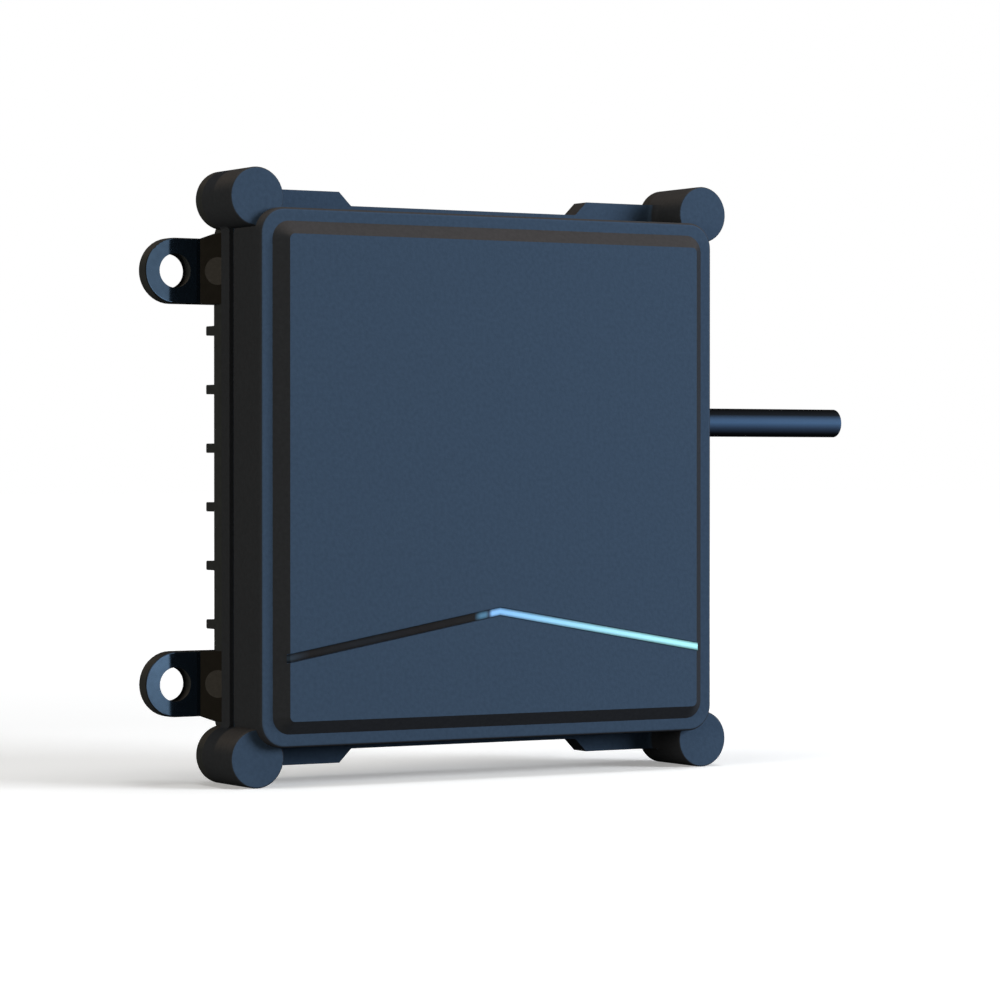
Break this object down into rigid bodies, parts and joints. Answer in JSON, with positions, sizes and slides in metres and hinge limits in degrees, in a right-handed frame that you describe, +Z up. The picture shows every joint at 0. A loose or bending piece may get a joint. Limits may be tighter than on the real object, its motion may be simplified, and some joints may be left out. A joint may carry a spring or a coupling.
{
  "type": "radar altimeter",
  "caption": "Flat square radar altimeter with a moulded radome cover, finned cast housing with fixing ears, corner posts, inner boards and a short side cable.",
  "frame": {"origin": "on the floor, under the middle of the housing's footprint, as it stands on its two lower posts", "axes": "+Z up, +X to the right seen from the front (the cable's side), +Y from the radome cover to the fins"},
  "size_m": [0.135, 0.0226, 0.1037],
  "materials": {
    "radome_plastic": "fine spark-textured moulding, dark slate blue",
    "strip_gloss": "polished dark blue inlay",
    "seal_rubber": "black elastomer",
    "cast_housing": "die casting with smooth blue-black coating",
    "dark_steel": "dark steel pin end",
    "brass_bush": "turned brass",
    "screw_steel": "black oxide steel",
    "board_laminate": "solder-masked glass laminate",
    "gilt_copper": "gold-plated copper",
    "chip_resin": "black moulding resin",
    "tinned_sheet": "tinned sheet metal",
    "absorber_foam": "grey absorber sheet",
    "connector_plastic": "ivory connector moulding",
    "gap_pad": "soft blue-grey thermal pad",
    "ferrite": "pressed ferrite powder",
    "capacitor_can": "drawn can",
    "cable_sheath": "smooth black sheath with a blue cast",
    "wire_insulation": "thin wire insulation"
  },
  "bodies": {
    "root": {"front_cover": "radome_plastic", "accent_strip": "strip_gloss", "cover_seal": "seal_rubber", "rear_housing": "cast_housing", "ear_pins": "dark_steel", "threaded_inserts": "brass_bush", "corner_screws": "screw_steel", "antenna_board": "board_laminate", "transmit_array": "gilt_copper", "receive_array": "gilt_copper", "radio_chip": "chip_resin", "amplifier_chips": "chip_resin", "radio_shield": "tinned_sheet", "absorber_sheet": "absorber_foam", "link_socket": "connector_plastic", "link_plug": "connector_plastic", "board_spacers": "brass_bush", "board_screws": "screw_steel", "logic_board": "board_laminate", "processor": "chip_resin", "thermal_pad": "gap_pad", "memory_chips": "chip_resin", "voltage_regulators": "chip_resin", "crystal_oscillator": "tinned_sheet", "power_inductors": "ferrite", "capacitors": "capacitor_can", "cable_header": "connector_plastic", "cable_plug": "connector_plastic", "cable_grommet": "seal_rubber", "cable_ferrule": "tinned_sheet", "cable_jacket": "cable_sheath", "cable_cores": "wire_insulation"}
  },
  "joints": []
}
